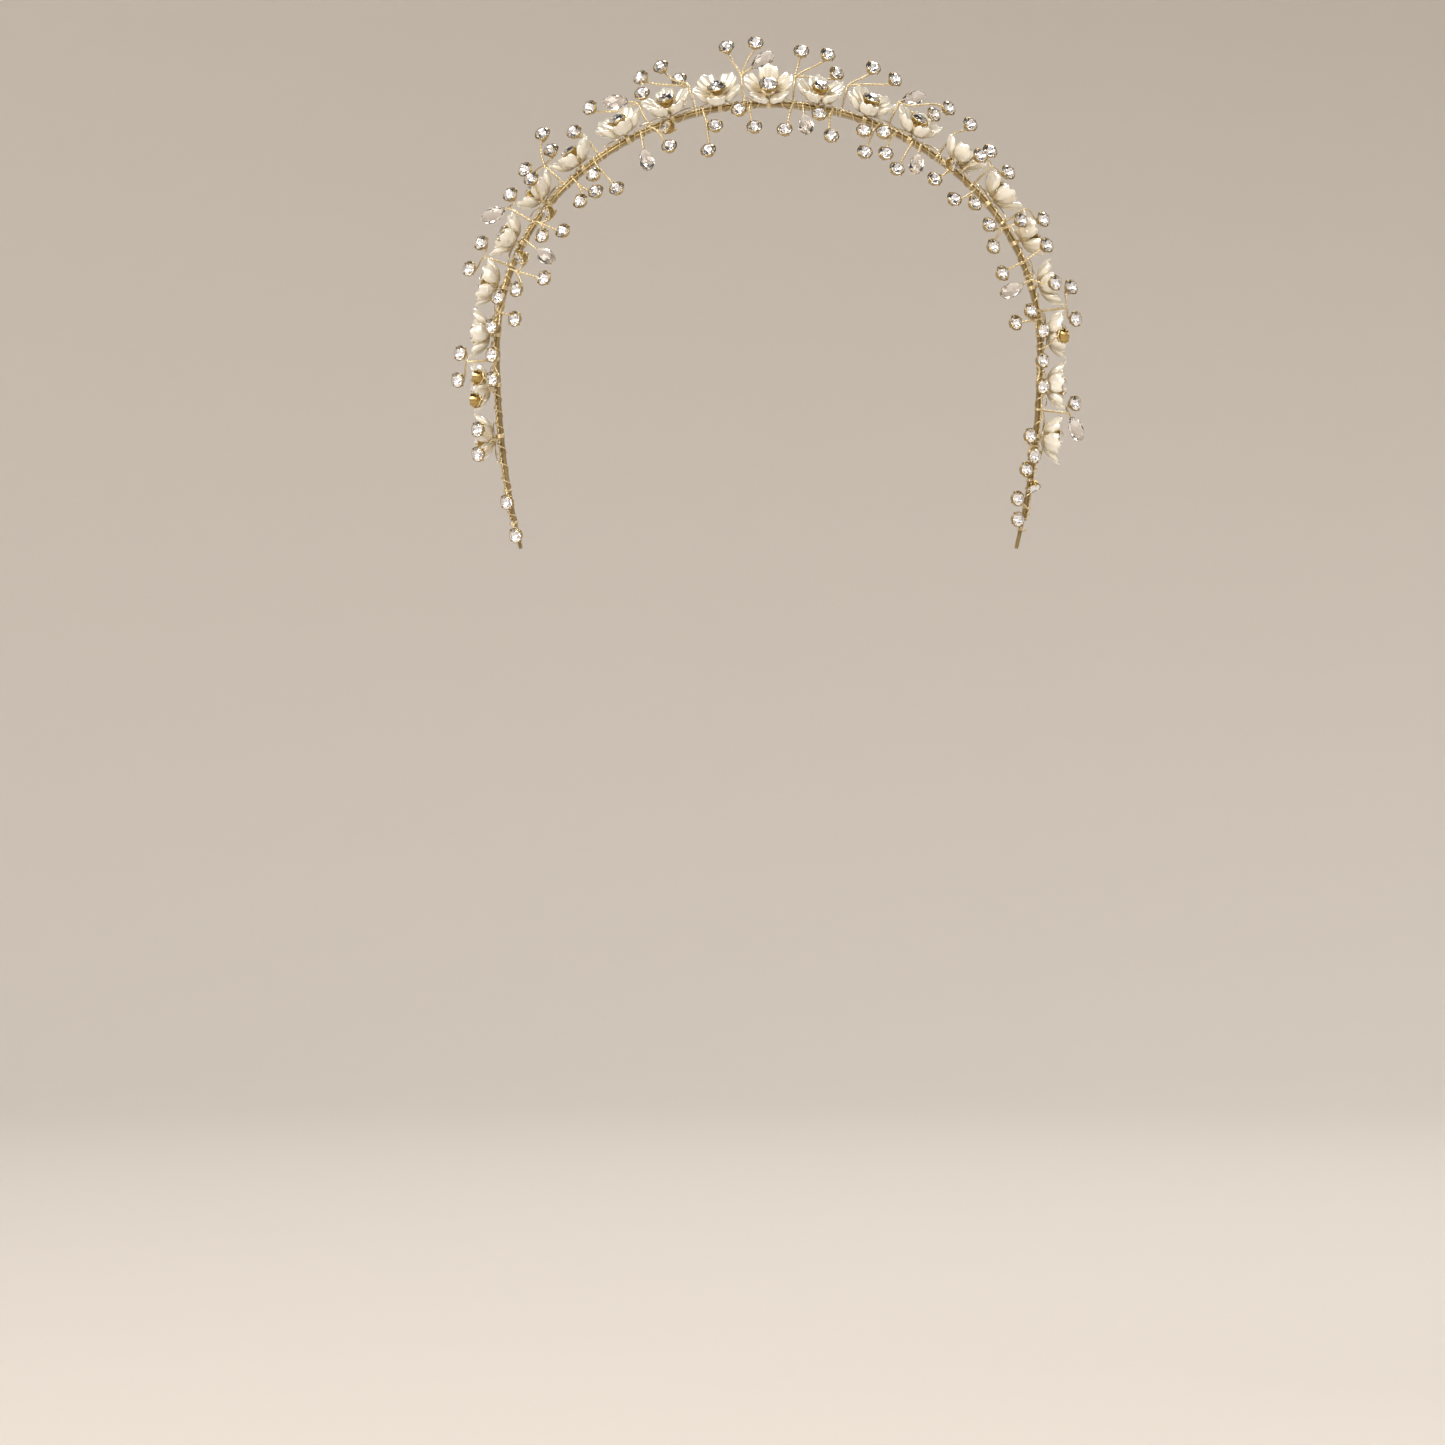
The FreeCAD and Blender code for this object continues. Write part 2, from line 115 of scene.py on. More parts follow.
def run_of(point):
    """The length along the band that a point stands over, and its height over the band's middle line."""
    best = None
    start = run = 0.0
    for turn, radius, x, z in band_arcs:
        heading = math.atan2(abs(point[0]) - x, point[2] - z)
        heading = min(max(heading, start), start + turn)
        foot = Vector((x + radius * math.sin(heading), z + radius * math.cos(heading)))
        gap = Vector((abs(point[0]), point[2])) - foot
        height = gap.dot(Vector((math.sin(heading), math.cos(heading))))
        if best is None or gap.length < best[0]:
            best = (gap.length, math.copysign(run + (heading - start) * radius, point[0]), height)
        start += turn
        run += turn * radius
    return best[1], best[2]


def skin(rings):
    """Corners and faces of a closed skin over rings of corners, from one end to the other."""
    rings = np.asarray(rings, float)
    rows, sides = rings.shape[:2]
    corner = np.arange(rows * sides).reshape(rows, sides)
    after = np.roll(corner, -1, axis=1)
    walls = np.stack([corner[:-1], after[:-1], after[1:], corner[1:]], axis=-1).reshape(-1, 4)
    return rings.reshape(-1, 3), walls.tolist() + [corner[0][::-1].tolist(), corner[-1].tolist()]


def joined(parts):
    """Several lots of corners and faces as one."""
    corners, faces, start = [], [], 0
    for some_corners, some_faces in parts:
        corners.append(np.asarray(some_corners, float))
        faces += [[start + index for index in face] for face in some_faces]
        start += len(some_corners)
    return np.concatenate(corners), faces


def make_piece(name, corners_and_faces, material, nodes=(), smooth=True):
    """Makes a piece with its material, in place of the CAD nodes that it stands for."""
    corners, faces = corners_and_faces
    mesh = bpy.data.meshes.new(name)
    mesh.from_pydata(np.asarray(corners).tolist(), [], faces)
    mesh.materials.append(material)
    mesh.polygons.foreach_set("use_smooth", [smooth] * len(faces))
    mesh.update()
    made = bpy.data.objects.new(name, mesh)
    bpy.context.scene.collection.objects.link(made)
    if nodes:
        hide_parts(*nodes)
    return made


def linear(colour):
    """A colour written as sRGB hex, as the linear colour that a shader takes."""
    parts = [int(colour[i:i + 2], 16) / 255 for i in (1, 3, 5)]
    return [p / 12.92 if p <= 0.04045 else ((p + 0.055) / 1.055) ** 2.4 for p in parts] + [1.0]


def add_node(material, kind, values=None, links=None):
    """Adds a shader node with its settings and links; a value's name is an input's or a property's."""
    made = material.node_tree.nodes.new(kind)
    for name, value in (values or {}).items():
        if name in made.inputs:
            made.inputs[name].default_value = value
        else:
            setattr(made, name, value)
    for name, source in (links or {}).items():
        material.node_tree.links.new(source, made.inputs[name])
    return made


def new_material(name):
    material = bpy.data.materials.new(name)
    material.use_nodes = True
    material.node_tree.nodes.clear()
    return material


def finish_material(material, shader):
    output = add_node(material, "ShaderNodeOutputMaterial")
    material.node_tree.links.new(shader.outputs["BSDF"], output.inputs["Surface"])
    return material


def plated(name, light, dark, smoothest, roughest, grain):
    """Gold plate over metal: soft drawing marks, and plate that is deeper in places. grain is in metres."""
    material = new_material(name)
    place = add_node(material, "ShaderNodeTexCoord")
    patch = add_node(material, "ShaderNodeTexNoise", {"Scale": 0.15 / grain, "Detail": 3.0},
                     {"Vector": place.outputs["Object"]})
    marks = add_node(material, "ShaderNodeTexNoise", {"Scale": 1.0 / grain, "Detail": 5.0, "Roughness": 0.65},
                     {"Vector": place.outputs["Object"]})
    colour = add_node(material, "ShaderNodeMix", {"data_type": "RGBA"}, {"Factor": patch.outputs["Fac"]})
    colour.inputs[6].default_value = linear(dark)
    colour.inputs[7].default_value = linear(light)
    rough = add_node(material, "ShaderNodeMapRange", {"To Min": smoothest, "To Max": roughest},
                     {"Value": marks.outputs["Fac"]})
    bump = add_node(material, "ShaderNodeBump", {"Strength": 0.12, "Distance": 0.02 * MM},
                    {"Height": marks.outputs["Fac"]})
    shader = add_node(material, "ShaderNodeBsdfPrincipled", {"Metallic": 1.0},
                      {"Base Color": colour.outputs[2], "Roughness": rough.outputs["Result"],
                       "Normal": bump.outputs["Normal"]})
    return finish_material(material, shader)


def flat_section(width, thickness, edge, steps=4):
    """Corners (across, outwards) of a flat strip's section with rolled edges."""
    corners = []
    for across, out, start in ((1, 1, 0), (-1, 1, 90), (-1, -1, 180), (1, -1, 270)):
        for step in range(steps + 1):
            turn = math.radians(start + 90 * step / steps)
            corners.append((across * (width / 2 - edge) + edge * math.cos(turn),
                            out * (thickness / 2 - edge) + edge * math.sin(turn)))
    return corners


def band_half(side):
    """Corners and faces of one half of the band, with a rounded end."""
    rings = []
    reach = band_width / 2
    end_turns = np.radians([15, 30, 45, 60, 72, 82, 88])
    runs = [*np.linspace(0, half_length, band_rows), *(half_length + reach * np.sin(end_turns))]
    for run in runs:
        beyond = max(run - half_length, 0.0)
        width = 2 * math.sqrt(max(reach ** 2 - beyond ** 2, (0.12 * reach) ** 2))
        edge = min(band_edge, width / 2.2)
        middle, outward = band_at(side * max(min(run, half_length), 1e-9))
        onward = Vector((outward.z, 0, -outward.x)) * side
        ring = [middle + onward * beyond + outward * out + Vector((0, across, 0))
                for across, out in flat_section(width, band_thickness, edge)]
        rings.append([tuple(corner) for corner in (ring if side > 0 else ring[::-1])])
    return skin(rings)


def bend_with(piece, side):
    """Bakes a piece that runs along one half of the band into place; it finds where that arm springs but does
    not bend it.
    """
    pivot = frame["joints"][0]["pos_m"]
    middle = run_of((side * abs(pivot[0]), 0, pivot[2]))[0]
    start = band_at(middle - side * flex_blend)[0]
    end = band_at(middle + side * flex_blend)[0]
    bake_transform(piece)


side_names = {-1: "left", 1: "right"}
# Painted shade: both plate colours of the band are darkened for the shadow that the flowers cast on it.
band_plate_with_painted_shade = plated("champagne plated spring steel with painted shade", "#B39E72", "#6F5B36", 0.2, 0.38, 0.5 * MM)
for side in (-1, 1):
    half = make_piece("hairband_" + side_names[side], band_half(side), band_plate_with_painted_shade,
                      ["crown_band", side_names[side] + "_band"])
    bend_with(half, side)

# ---- Vine wires ----
# Two soft brass wires lie along the outside of the band, each a pair of strands twisted by hand, so they
# wander a little. Flowers and stems are fixed to them. They are plated like the band, but brighter, as the
# band's colour also holds painted shade.
vine_strand = 0.2 * MM
vine_height = 0.97 * MM
vine_depth = 1.5 * MM
vine_twist = 3.4 * MM
vine_stop = 6 * MM
vine_step = 0.28 * MM
# A direction that no wire starts along.
aside = (0.31, 0.9, 0.3)


def tube(points, radius, sides=6):
    """Corners and faces of a round wire along points, which are close enough together to be a curve."""
    points = np.asarray(points, float)
    onward = np.gradient(points, axis=0)
    onward /= np.linalg.norm(onward, axis=1)[:, None]
    across = np.cross(onward[0], aside)
    turns = np.linspace(0, 2 * math.pi, sides, endpoint=False)
    rings = []
    for point, direction in zip(points, onward):
        across = across - direction * np.dot(across, direction)
        across /= np.linalg.norm(across)
        other = np.cross(direction, across)
        rings.append([point + radius * (math.cos(t) * across + math.sin(t) * other) for t in turns])
    return skin(rings)


def twisted(points, strand, pitch, start=0.0, strands=2):
    """Centre lines of strands twisted round each other along points, evenly spaced."""
    points = np.asarray(points, float)
    onward = np.gradient(points, axis=0)
    onward /= np.linalg.norm(onward, axis=1)[:, None]
    length = np.concatenate([[0], np.cumsum(np.linalg.norm(np.diff(points, axis=0), axis=1))])
    across = np.cross(onward[0], aside)
    lines = [[] for strand_index in range(strands)]
    for point, direction, along in zip(points, onward, length):
        across = across - direction * np.dot(across, direction)
        across /= np.linalg.norm(across)
        other = np.cross(direction, across)
        for index, line in enumerate(lines):
            turn = start + 2 * math.pi * (along / pitch + index / strands)
            line.append(point + strand * (math.cos(turn) * across + math.sin(turn) * other))
    return lines


gold_wire = plated("champagne plated brass wire", "#EBDDBB", "#BFA875", 0.2, 0.36, 0.4 * MM)
for side in (-1, 1):
    wires = []
    for row in (-1, 1):
        runs = np.arange(0.2 * MM, half_length - vine_stop, vine_step)
        line = []
        for run in runs:
            slow = 0.16 * MM * math.sin(run / (4.1 * MM) + row)
            quick = 0.1 * MM * math.sin(run / (1.7 * MM) + 2 * side)
            line.append(band_at(side * run, vine_height, row * vine_depth + slow + quick)[0])
        for strand in twisted(line, vine_strand * 0.95, vine_twist, row):
            wires.append(tube(strand, vine_strand))
    vine = make_piece("vine_wires_" + side_names[side], joined(wires), gold_wire,
                      ["crown_vine_wires", side_names[side] + "_vine_wires"])
    bend_with(vine, side)

# ---- Binding ----
# One long length of 0.3 mm wire on each side, wound round band and vine wires: tight turns wherever a
# flower or a stem is fixed, and a long loose turn or two from there to the next.
binding_radius = 0.15 * MM
binding_gap = 0.05 * MM
loose_turn = 5.0 * MM
turn_steps = 20
tight_gap = 1.0 * MM
middle_margin = 1.0 * MM
station_gap = 3.0 * MM
loose_margin = 30.0 * MM
squareness = 5


def islands(node):
    """The separate solids of a CAD node: the corners and triangles of each, in metres."""
    mesh = frame["nodes"][node].data
    mesh.calc_loop_triangles()
    corners = np.empty(len(mesh.vertices) * 3, np.float32)
    mesh.vertices.foreach_get("co", corners)
    triangles = np.empty(len(mesh.loop_triangles) * 3, np.int32)
    mesh.loop_triangles.foreach_get("vertices", triangles)
    keys, first, same = np.unique(np.round(corners.reshape(-1, 3) / 1e-6).astype(np.int64), axis=0,
                                  return_index=True, return_inverse=True)
    corners = corners.reshape(-1, 3)[first].astype(float)
    triangles = same.ravel()[triangles.reshape(-1, 3)]
    label = np.arange(len(corners))
    while True:
        lowest = label.copy()
        np.minimum.at(lowest, triangles.ravel(), np.repeat(label[triangles].min(axis=1), 3))
        lowest = lowest[lowest]
        if (lowest == label).all():
            break
        label = lowest
    found = []
    for one in np.unique(label):
        own = np.flatnonzero(label == one)
        found.append((corners[own], np.searchsorted(own, triangles[label[triangles[:, 0]] == one])))
    return found


def binding_line(side):
    """The centre line of the wound wire on one side, from the middle of the crown to the arm's end."""
    spots = []
    for node in ("crown_bindings", side_names[side] + "_bindings"):
        for corners, triangles in islands(node):
            run = run_of(corners.mean(axis=0))[0] * side
            if run > -middle_margin:
                spots.append(run)
    spots = sorted(spots)
    turns = [spots[0] - 0.5 * MM]
    for spot in spots:
        gap = spot - turns[-1]
        steps = 2 if gap < tight_gap else max(1, round(gap / loose_turn))
        turns += [turns[-1] + gap * (step + 1) / steps for step in range(steps)]
    wide = band_width / 2 + binding_gap + binding_radius
    low = -band_thickness / 2 - binding_gap - binding_radius
    high = vine_height + 2 * vine_strand + binding_gap + binding_radius
    line = []
    for first, last in zip(turns, turns[1:]):
        slack = random.uniform(0.0, 0.1) * MM
        for step in range(turn_steps):
            share = step / turn_steps
            angle = 2 * math.pi * share
            across, up = math.cos(angle), math.sin(angle)
            square = (abs(across) ** squareness + abs(up) ** squareness) ** (-1 / squareness)
            depth = (wide + slack * 0.4) * square * across
            height = (low + high) / 2 + (high - low + slack) / 2 * square * up
            run = max(first + (last - first) * share, 0.05 * MM)
            line.append(band_at(side * run, height, depth)[0])
    return line


def stations_of(section):
    """Where the bound places of one body are along the band, about one for each group of turns."""
    runs = sorted(run_of(corners.mean(axis=0))[0] for corners, triangles in islands(section + "_bindings"))
    return [run for before, run in zip([-math.inf] + runs, runs) if run - before > station_gap]


random.seed(11)
body_names = {"crown": "crown", "left": "left_arm", "right": "right_arm"}
stations = {section: stations_of(section) for section in body_names}
high_turn = vine_height + 2 * vine_strand + 2 * binding_gap + 3 * binding_radius
fine_wire = plated("bright gold craft wire", "#F6EACB", "#D9C494", 0.2, 0.36, 0.3 * MM)
for side in (-1, 1):
    wound = tube(binding_line(side), binding_radius)
    binding = make_piece("binding_" + side_names[side], wound, fine_wire,
                         ["crown_bindings", side_names[side] + "_bindings"])
    bend_with(binding, side)
for section, body in body_names.items():
    wires = []
    for run in stations[section]:
        side = math.copysign(1, run)
        run = min(abs(run), half_length - loose_margin)
        row = random.choice((-1, 1)) * (band_width / 2 + 0.25 * MM)
        reach = random.uniform(4.5, 7.5) * MM * random.choice((-1, 1))
        lift = random.uniform(0.1, 0.7) * MM
        line = []
        for share in np.linspace(0, 1, 26):
            height = high_turn + lift * math.sin(math.pi * share)
            depth = row * math.cos(math.pi * share)
            line.append(band_at(side * max(run + reach * share, 0.2 * MM), height, depth)[0])
        wires.append(tube(line, binding_radius))
    loose = make_piece("loose_strands_" + section, joined(wires), fine_wire)
    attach(loose, body)

# ---- Flowers ----
# Each is moulded in ivory acrylic with a pearl coat: five plump ribbed petals that flare from a narrow neck.
# The coat is glossy and cool white at the tips. Towards the thin neck the colour is painted a darker warm
# cream: painted shade low in the flower, and painted warm light let through the thin neck.
petal_count = 5
# In millimetres, as flower_mesh is.
flower_radius = 7.6
petal_start = 1.3
half_petal = math.radians(35.4)
petal_rows = 20
petal_columns = 29


def flattest(corners, triangles):
    """The normal and the middle of the largest flat face of a solid."""
    first, second, third = (corners[triangles[:, i]] for i in range(3))
    cross = np.cross(second - first, third - first)
    area = np.linalg.norm(cross, axis=1)
    keep = area > 1e-14
    normals = cross[keep] / area[keep][:, None]
    area = area[keep]
    middles = ((first + second + third) / 3)[keep]
    seeds = np.argsort(-area)[:40]
    best = None
    for seed in seeds:
        flat = (normals @ normals[seed] > 0.9998) & (np.abs((middles - middles[seed]) @ normals[seed]) < 2e-6)
        total = area[flat].sum()
        if best is None or total > best[0]:
            best = (total, normals[seed], (middles[flat] * area[flat][:, None]).sum(axis=0) / total)
    return best[1], best[2]


def upright(facing, hint):
    """A rotation whose third column is facing and whose first is near hint."""
    facing = Vector(facing).normalized()
    second = facing.cross(Vector(hint)).normalized()
    first = second.cross(facing)
    return Matrix((first, second, facing)).transposed()


def flower_seat(node):
    """Where a flower's back is, as a rotation with a petal on its first axis, and a point."""
    corners, triangles = islands(node)[0]
    first, second, third = (corners[triangles[:, i]] for i in range(3))
    area = np.linalg.norm(np.cross(second - first, third - first), axis=1)
    middles = (first + second + third) / 3
    middle = (middles * area[:, None]).sum(axis=0) / area.sum()
    spread = middles - middle
    facing = np.linalg.eigh((spread * area[:, None]).T @ spread)[1][:, 0]
    along = (corners - middle) @ facing
    wide = np.linalg.norm(corners - middle - np.outer(along, facing), axis=1)
    if along[wide > 0.8 * wide.max()].mean() < (along.min() + along.max()) / 2:
        facing = -facing
    turn = upright(facing, (0.3, 0.2, 0.9))
    flat = (corners - middle) @ np.array(turn)
    angle = np.arctan2(flat[:, 1], flat[:, 0])
    reach = np.hypot(flat[:, 0], flat[:, 1])
    rim = reach > 0.93 * reach.max()
    spin = np.angle(np.exp(1j * petal_count * angle[rim]).sum()) / petal_count
    origin = Vector(middle + facing * flat[:, 2].min())
    return turn @ Matrix.Rotation(spin, 3, "Z"), origin


def circle(reach, height, count, start=0.0):
    """Evenly spaced corners round the Z axis, at a height."""
    turns = [start + 2 * math.pi * i / count for i in range(count)]
    return [(reach * math.cos(turn), reach * math.sin(turn), height) for turn in turns]


def placed(corners, turn, origin):
    """Corners turned by a rotation and moved to an origin."""
    return np.asarray(corners) @ np.array(turn).T + np.array(origin)


def flower_mesh(chance):
    """One flower, in millimetres, with its back at the origin; each petal differs a little."""
    across = np.sin(np.linspace(-math.pi / 2, math.pi / 2, petal_columns))
    share = np.sin(np.linspace(0, math.pi / 2, petal_rows))
    hub = [(0.02, -1.5), (0.85, -1.45), (1.25, -1.1), (1.7, -0.3), (2.1, 0.4), (1.9, 1.05), (0.02, 1.05)]
    parts = [skin([circle(reach, height, 24) for reach, height in hub])]
    for petal in range(petal_count):
        lift = chance.uniform(-0.3, 0.3)
        size = chance.uniform(0.95, 1.0)
        sway = chance.uniform(-0.05, 0.05)
        phase = chance.uniform(-0.5, 0.5)
        rings = []
        for u in across:
            lobe = (1 - abs(u) ** 2.6) ** 0.55
            wave = math.cos(3 * math.pi * u + phase)
            scallop = 0.965 + 0.035 * wave
            outline = flower_radius * size * (0.52 + 0.48 * lobe * scallop)
            radius = petal_start + (outline - petal_start) * share
            spread = np.clip((radius - petal_start) / (0.5 * flower_radius), 0, 1)
            spread = spread * spread * (3 - 2 * spread)
            angle = 2 * math.pi * petal / petal_count + sway * share ** 2
            angle = angle + half_petal * u * (0.55 + 0.45 * spread)
            flare = np.clip((radius - petal_start) / (flower_radius - petal_start), 0, 1)
            middle = -0.5 + 2.1 * flare + 2.2 * flare ** 2 + lift * flare ** 2
            plump = math.sqrt(max(1 - u ** 4, 0.0)) * np.sqrt(np.clip(1 - share ** 9, 0, 1))
            half = 0.04 + (0.34 + 0.6 * np.sin(math.pi * np.clip(0.08 + 0.7 * flare, 0, 1))) * plump
            ribs = 0.32 * wave * (1 - u ** 4) * np.sin(math.pi * 0.92 * flare) ** 0.7
            x, y = radius * np.cos(angle), radius * np.sin(angle)
            front = np.stack([x, y, middle + half + ribs], axis=1)
            back = np.stack([x, y, np.maximum(middle - 1.7 * half - 0.3 * ribs, -1.4)], axis=1)
            rings.append(np.concatenate([front, back[::-1]]))
        parts.append(skin(rings))
    corners, faces = joined(parts)
    return corners, faces, np.clip(np.hypot(corners[:, 0], corners[:, 1]) / flower_radius, 0, 1)


def pearl_acrylic():
    """Moulded acrylic, IOR about 1.49, with a pearl coat: creamy, a little see-through, with sharp glints."""
    material = new_material("pearl coated ivory acrylic")
    reach = add_node(material, "ShaderNodeAttribute", {"attribute_name": "petal_reach"})
    place = add_node(material, "ShaderNodeTexCoord")
    cloud = add_node(material, "ShaderNodeTexNoise", {"Scale": 1 / (3.5 * MM), "Detail": 3.0},
                     {"Vector": place.outputs["Object"]})
    # Painted shade: the colour darkens to a warm tan towards the neck, for shade low in the flower and warm
    # light let through there.
    ramp = add_node(material, "ShaderNodeValToRGB", links={"Fac": reach.outputs["Fac"]})
    neck_shade_stops = ((0.15, "#DCC596"), (0.42, "#E9DEC2"), (0.7, "#EFEADC"), (1.0, "#F4F1E9"))
    while len(ramp.color_ramp.elements) < len(neck_shade_stops):
        ramp.color_ramp.elements.new(0.5)
    for element, (position, colour) in zip(ramp.color_ramp.elements, neck_shade_stops):
        element.position = position
        element.color = linear(colour)
    shade = add_node(material, "ShaderNodeMapRange", {"To Min": 0.0, "To Max": 0.35},
                     {"Value": cloud.outputs["Fac"]})
    colour = add_node(material, "ShaderNodeMix", {"data_type": "RGBA"}, {"Factor": shade.outputs["Result"]})
    material.node_tree.links.new(ramp.outputs["Color"], colour.inputs[6])
    colour.inputs[7].default_value = linear("#D6CEBC")
    flow = add_node(material, "ShaderNodeTexNoise", {"Scale": 1 / (0.8 * MM), "Detail": 4.0},
                    {"Vector": place.outputs["Object"]})
    rough = add_node(material, "ShaderNodeMapRange", {"To Min": 0.12, "To Max": 0.24},
                     {"Value": flow.outputs["Fac"]})
    bump = add_node(material, "ShaderNodeBump", {"Strength": 0.25, "Distance": 0.06 * MM},
                    {"Height": flow.outputs["Fac"]})
    shader = add_node(material, "ShaderNodeBsdfPrincipled",
                      {"IOR": 1.49, "Metallic": 0.32, "Subsurface Weight": 0.35, "Subsurface Scale": 1.4 * MM,
                       "Subsurface Radius": (1.0, 0.8, 0.5), "Coat Weight": 1.0, "Coat Roughness": 0.07,
                       "Coat IOR": 1.6},
                      {"Base Color": colour.outputs[2], "Roughness": rough.outputs["Result"],
                       "Normal": bump.outputs["Normal"]})
    return finish_material(material, shader)


pearl = pearl_acrylic()
flowers = {}
for number, node in enumerate(sorted(n for n in frame["nodes"] if n.startswith("flower_"))):
    turn, origin = flower_seat(node)
    corners, faces, reach = flower_mesh(np.random.default_rng(100 + number))
    petals = (placed(corners * MM, turn, origin), faces)
    flower = make_piece("pearl_" + node, petals, pearl, [node])
    attribute = flower.data.attributes.new("petal_reach", "FLOAT", "POINT")
    attribute.data.foreach_set("value", reach.astype(np.float32))
    body = frame["nodes"][node]["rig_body"]
    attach(flower, body)
    flowers[node] = (turn, origin, body)

# ---- Flower ties ----
# The end of each flower's wire comes down through the hole in its neck as a twisted pair and is bound to
# the vine wires, which holds the flower a few millimetres over the band.
tie_strand = 0.17 * MM
tie_twist = 1.3 * MM
binding_top = 1.75 * MM


def smoothed(points, spacing=0.2 * MM, rounds=3):
    """A polyline with its corners cut off again and again, and then evenly spaced points along it."""
    points = np.asarray([tuple(p) for p in points], float)
    for one_round in range(rounds):
        near = points[:-1] * 0.75 + points[1:] * 0.25
        far = points[:-1] * 0.25 + points[1:] * 0.75
        middle = np.stack([near, far], axis=1).reshape(-1, 3)
        points = np.concatenate([points[:1], middle[1:-1], points[-1:]])
    length = np.concatenate([[0], np.cumsum(np.linalg.norm(np.diff(points, axis=0), axis=1))])
    even = np.linspace(0, length[-1], max(4, int(length[-1] / spacing)))
    return np.stack([np.interp(even, length, points[:, axis]) for axis in range(3)], axis=1)


for section, body in body_names.items():
    wires = []
    for node, (turn, origin, own_body) in flowers.items():
        if own_body != body:
            continue
        facing = turn.col[2]
        root = band_at(run_of(origin)[0], binding_top, 0.0)[0]
        line = smoothed([root, origin - facing * 0.9 * MM, origin + facing * 0.9 * MM])
        for strand in twisted(line, tie_strand, tie_twist):
            wires.append(tube(strand, tie_strand))
    ties = make_piece("flower_ties_" + section, joined(wires), fine_wire,
                      [section + "_flower_ties"])
    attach(ties, body)

# ---- Crystals ----
# Round brilliants pressed from clear glass, with silver foil on the back, so that facets look either
# white or nearly black. Small ones end the stems, and a larger one sits in each flower.
foil_gap = 0.015 * MM


def crystal_seat(corners, triangles):
    """Where a crystal sits: its rotation, its culet, its radius."""
    facing, table = flattest(corners, triangles)
    turn = upright(facing, (0.2, 0.1, 1.0) if abs(facing[2]) < 0.9 else (1.0, 0.1, 0.2))
    flat = (corners - table) @ np.array(turn)
    radius = np.hypot(flat[:, 0], flat[:, 1]).max()
    return turn, Vector(table + facing * flat[:, 2].min()), radius


def brilliant(radius):
    """A round brilliant's corners and facets, culet at the origin, and those of its foil."""
    girdle, girdle_top, table_height = 0.8 * radius, 0.88 * radius, 1.2 * radius
    table, star = 0.56 * radius, 0.79 * radius
    slope = (table_height - girdle_top) / (radius - table)
    star_height = table_height - slope * (star * math.cos(math.pi / 8) - table)
    low = 0.36 * radius
    low_height = girdle / radius * low * math.cos(math.pi / 8)
    corners = [(0.0, 0.0, 0.0)] + circle(low, low_height, 8, math.pi / 8) + circle(radius, girdle, 16)
    corners += circle(radius, girdle_top, 16) + circle(star, star_height, 8, math.pi / 8)
    corners += circle(table, table_height, 8)
    pavilion, crown = [], [list(range(49, 57))]
    for i in range(8):
        j = (i + 1) % 8
        pavilion.append([0, 1 + (i - 1) % 8, 9 + 2 * i, 1 + i])
        pavilion.append([1 + i, 9 + 2 * i, 10 + 2 * i])
        pavilion.append([1 + i, 10 + 2 * i, 9 + 2 * j])
        crown.append([49 + i, 41 + i, 49 + j])
        crown.append([49 + i, 41 + (i - 1) % 8, 25 + 2 * i, 41 + i])
        crown.append([41 + i, 25 + 2 * i, 26 + 2 * i])
        crown.append([41 + i, 26 + 2 * i, 25 + 2 * j])
    belt = [[9 + i, 9 + (i + 1) % 16, 25 + (i + 1) % 16, 25 + i] for i in range(16)]
    corners = np.array(corners)
    stone = (corners, [face[::-1] for face in pavilion + crown[1:]] + crown[:1] + belt)
    outer = corners[:25] * (1 + foil_gap / radius) - [0, 0, foil_gap * 1.3]
    return stone, (outer, [face[::-1] for face in pavilion])


def clear_glass(name, ior, tint):
    """Clear pressed glass: polished facets, with the faint waviness of pressing."""
    material = new_material(name)
    place = add_node(material, "ShaderNodeTexCoord")
    wave = add_node(material, "ShaderNodeTexNoise", {"Scale": 1 / (1.5 * MM)},
                    {"Vector": place.outputs["Object"]})
    rough = add_node(material, "ShaderNodeMapRange", {"To Min": 0.0, "To Max": 0.02},
                     {"Value": wave.outputs["Fac"]})
    shader = add_node(material, "ShaderNodeBsdfPrincipled",
                      {"Base Color": linear(tint), "IOR": ior, "Transmission Weight": 1.0},
                      {"Roughness": rough.outputs["Result"]})
    return finish_material(material, shader)


crystal_glass = clear_glass("pressed crystal glass", 1.57, "#FDFDFF")
silver_foil = plated("silver foil", "#FAFBFC", "#ECEDF0", 0.04, 0.1, 0.6 * MM)
crystals = {}
for section, body in body_names.items():
    for kind in ("flower", "sprig"):
        node = "%s_%s_crystals" % (section, kind)
        seats = [crystal_seat(*solid) for solid in islands(node)]
        crystals[section, kind] = seats
        stones, foils = [], []
        for turn, culet, radius in seats:
            stone, foil = brilliant(radius)
            stones.append((placed(stone[0], turn, culet), stone[1]))
            foils.append((placed(foil[0], turn, culet), foil[1]))
        glass = make_piece("%s_crystals_%s" % (kind, section), joined(stones), crystal_glass,
                           [node], smooth=False)
        foil = make_piece("%s_foils_%s" % (kind, section), joined(foils), silver_foil,
                          smooth=False)
        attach(glass, body)
        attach(foil, body)

# ---- Claw cups ----
# Each crystal is gripped by a cup pressed from thin brass, a deeper gold than the wire. Four claws are
# bent over the crystal's edge, and the rim catches the light as a bright line.
cup_wall = 0.25 * MM
cup_clearance = 0.05 * MM
cup_sides = 32
claw_thickness = 0.11 * MM
claw_turns = (0, 0.6, 1.57, 2.54, 3.14, 3.74, 4.71, 5.68)


